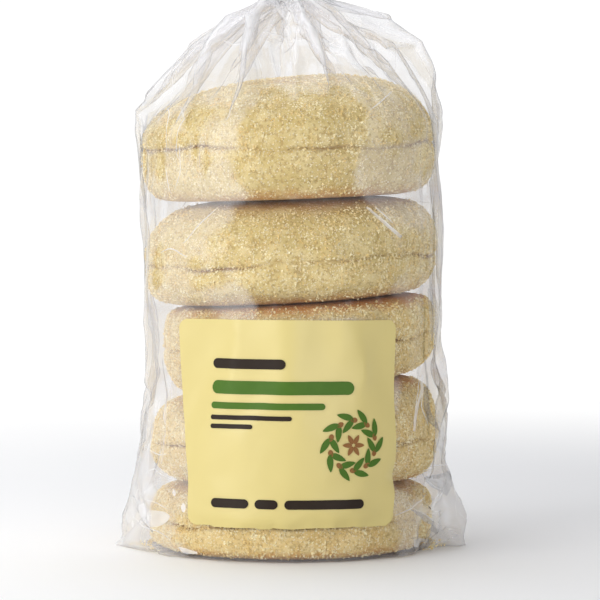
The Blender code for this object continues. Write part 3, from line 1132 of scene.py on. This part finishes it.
# a printed panel that follows the film
label = {
    "width": 72.0 * mm,
    "shift": -1.0 * mm,
    "corner": 3.0 * mm,
    "leftEdge": (-0.5 * mm, 2.3 * mm),  # how far in its left edge stands, high up and low down
    "lift": 0.22 * mm,
    "inkLift": 0.42 * mm,
    # plain bars: left, right, low and high in millimetres from the panel's middle line and the base
    "darkBars": [
        (-26, -2, 58.8, 61.8), (-26, 0, 43.4, 44.8), (-26, -12, 40.7, 42.1),
        (-25.5, -13, 16.8, 19.6), (-11, -4, 16.8, 19.6), (-2, 23, 16.8, 19.6),
    ],
    "greenBars": [(-26, 19, 51.2, 55.2), (-26, 10, 46.7, 48.7)],
    "wreath": (19.0, 36.0),
    "ring": 7.6,
    "leaves": 10,
}


def roundedPatch(left, right, low, high, corner, step):
    # a grid of (across, up) points that fills an oblong with round corners
    half, tall = (right - left) / 2, (high - low) / 2
    turn = np.linspace(math.radians(10), math.pi / 2, 5)
    end = half - corner * (1 - np.sin(turn))
    inner = np.linspace(-(half - corner), half - corner, max(int((right - left) / step), 2))
    offs = np.unique(np.round(np.concatenate([-end, inner, end]), 8))
    inset = np.clip(np.abs(offs) - (half - corner), 0, corner * 0.985)
    reach = tall - corner + np.sqrt(corner ** 2 - inset ** 2)
    share = np.linspace(-1, 1, max(int((high - low) / step), 2) + 1)
    up = share[:, None] * reach[None] + (low + high) / 2
    across = np.ones_like(up) * offs[None] + (left + right) / 2
    return across, up


def leafPatch(middle, angle, long, wide):
    # a pointed leaf
    along = np.linspace(-0.96, 1, 12)
    side = np.linspace(-1, 1, 5)
    width = wide / 2 * (1 - along ** 2) ** 0.75 * (1 - 0.25 * along) + 0.02 * mm
    x = along[:, None] * long / 2 * np.ones((1, 5))
    y = width[:, None] * side[None]
    across = middle[0] + x * math.cos(angle) - y * math.sin(angle)
    up = middle[1] + x * math.sin(angle) + y * math.cos(angle)
    return across, up


def inkMaterial(name, colour, other):
    shader = Shader(name)
    tint = shader.mix(shader.noise(260, 3) * 0.6, colour, other)
    return shader.finish(shader.principled(tint, 0.45, 0.2))


def addPrint(name, patches, lift, material, node=None):
    # several printed shapes as one thin piece on the film
    piece = addGrids(name, [onFilm(across, up, lift) for across, up in patches], material)
    placePiece(piece, node)


def makeLabel():
    low, high = labelLow.z, labelHigh.z
    left = label["shift"] - label["width"] / 2
    across, up = roundedPatch(left, left + label["width"], low, high, label["corner"], 1.0 * mm)
    nearLeft = np.clip(1 - (across - left) / label["width"], 0, 1)
    above, below = label["leftEdge"]
    lowDown = smoothStep(0.6, 0.15, (up - low) / (high - low))
    across = across + nearLeft * (above + (below - above) * lowDown)
    shader = Shader("panelYellow")
    patch = shader.noise(38, 3)
    tint = shader.mix(patch * 0.7, (0.69, 0.575, 0.22), (0.64, 0.53, 0.20))
    uneven = shader.bump(shader.noise(70, 2), 0.25, 0.0008)
    yellow = shader.finish(shader.principled(tint, 0.36, 0.6, uneven))
    addPrint("label_panel", [(across, up)], label["lift"], yellow, "label")


def makePrint():
    dark = inkMaterial("inkBrown", (0.018, 0.010, 0.006), (0.03, 0.018, 0.01))
    green = inkMaterial("inkGreen", (0.055, 0.135, 0.012), (0.085, 0.18, 0.02))
    rust = inkMaterial("inkRust", (0.24, 0.10, 0.03), (0.32, 0.16, 0.05))
    bars = {"darkBars": [], "greenBars": []}
    for kind, made in bars.items():
        for left, right, low, high in np.array(label[kind]) * mm:
            made.append(roundedPatch(left, right, low, high, (high - low) / 2, 1.2 * mm))
    across, up = label["wreath"]

    def ringLeaf(turn, reach, heading, long, wide):
        middle = ((across + reach * math.cos(turn)) * mm, (up + reach * math.sin(turn)) * mm)
        return leafPatch(middle, heading, long * mm, wide * mm)

    leaves, seeds = [], []
    for step in range(label["leaves"]):
        turn = math.tau * step / label["leaves"]
        between = turn + math.pi / label["leaves"]
        for off, tilt in ((1.5, 0.55), (-1.5, -0.55)):
            leaves.append(ringLeaf(turn, label["ring"] + off, turn + math.pi / 2 - tilt, 5.4, 1.9))
        seeds.append(ringLeaf(between, label["ring"], between + math.pi / 2, 2.4, 1.5))
    for turn in np.arange(6) * math.tau / 6:
        seeds.append(ringLeaf(turn, 2.0, turn, 3.2, 1.4))
    prints = {
        "label_dark_print": (bars["darkBars"], dark), "label_green_print": (bars["greenBars"], green),
        "label_wreath_leaves": (leaves, green), "label_wreath_seeds": (seeds, rust),
    }
    for name, (patches, ink) in prints.items():
        addPrint(name, patches, label["inkLift"], ink)


makeCreases()
makeLabel()
makePrint()
print("label laid on")


# grains that have fallen to the bottom of the bag, between the lowest muffin and the film
crumbs = {"count": 180, "inner": 43.6 * mm, "spare": 2.6 * mm}


def makeCrumbs():
    base, _ = tautRing(film["roundReach"], film["cornerReach"], 200)
    turns = np.unwrap(np.arctan2(base[:, 1], base[:, 0]))
    turn = rng.uniform(0, math.tau, crumbs["count"] * 8)
    outer = np.interp(turn, turns, np.hypot(*base.T), period=math.tau) * mm - crumbs["spare"]
    room = outer - crumbs["inner"]
    picked = rng.uniform(0, 6 * mm, len(turn)) < room
    turn, room = turn[picked][:crumbs["count"]], room[picked][:crumbs["count"]]
    reach = crumbs["inner"] + room * rng.uniform(0, 1, len(turn)) ** 1.5
    up = rng.uniform(0.55 * mm, 0.8 * mm, len(turn))
    places = np.stack([reach * np.cos(turn), reach * np.sin(turn), up], -1)
    material = bpy.data.materials["semolinaGrain"]
    grains = scatterGrains("semolina_loose", places, np.zeros_like(places), material)
    placePiece(grains, "bag")


def tieMaterial():
    # paper over a wire, a little fibrous and scuffed
    shader = Shader("tiePaper")
    fibre = shader.noise(900, 4, 0.7, 0.6)
    worn = shader.noise(120, 3).between(0.45, 0.7)
    tint = shader.mix(worn * 0.6, (0.80, 0.80, 0.77), (0.66, 0.66, 0.62))
    speckled = shader.mix(fibre.between(0.55, 0.75) * 0.4, tint, (0.9, 0.9, 0.88))
    rough = 0.55 + fibre * 0.25
    return shader.finish(shader.principled(speckled, rough, normal=shader.bump(fibre, 0.5, 0.0002)))


makeCrumbs()
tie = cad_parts["tie"]
paper = tieMaterial()
for slot in tie.material_slots:
    slot.material = paper
print("tie and loose grains done")
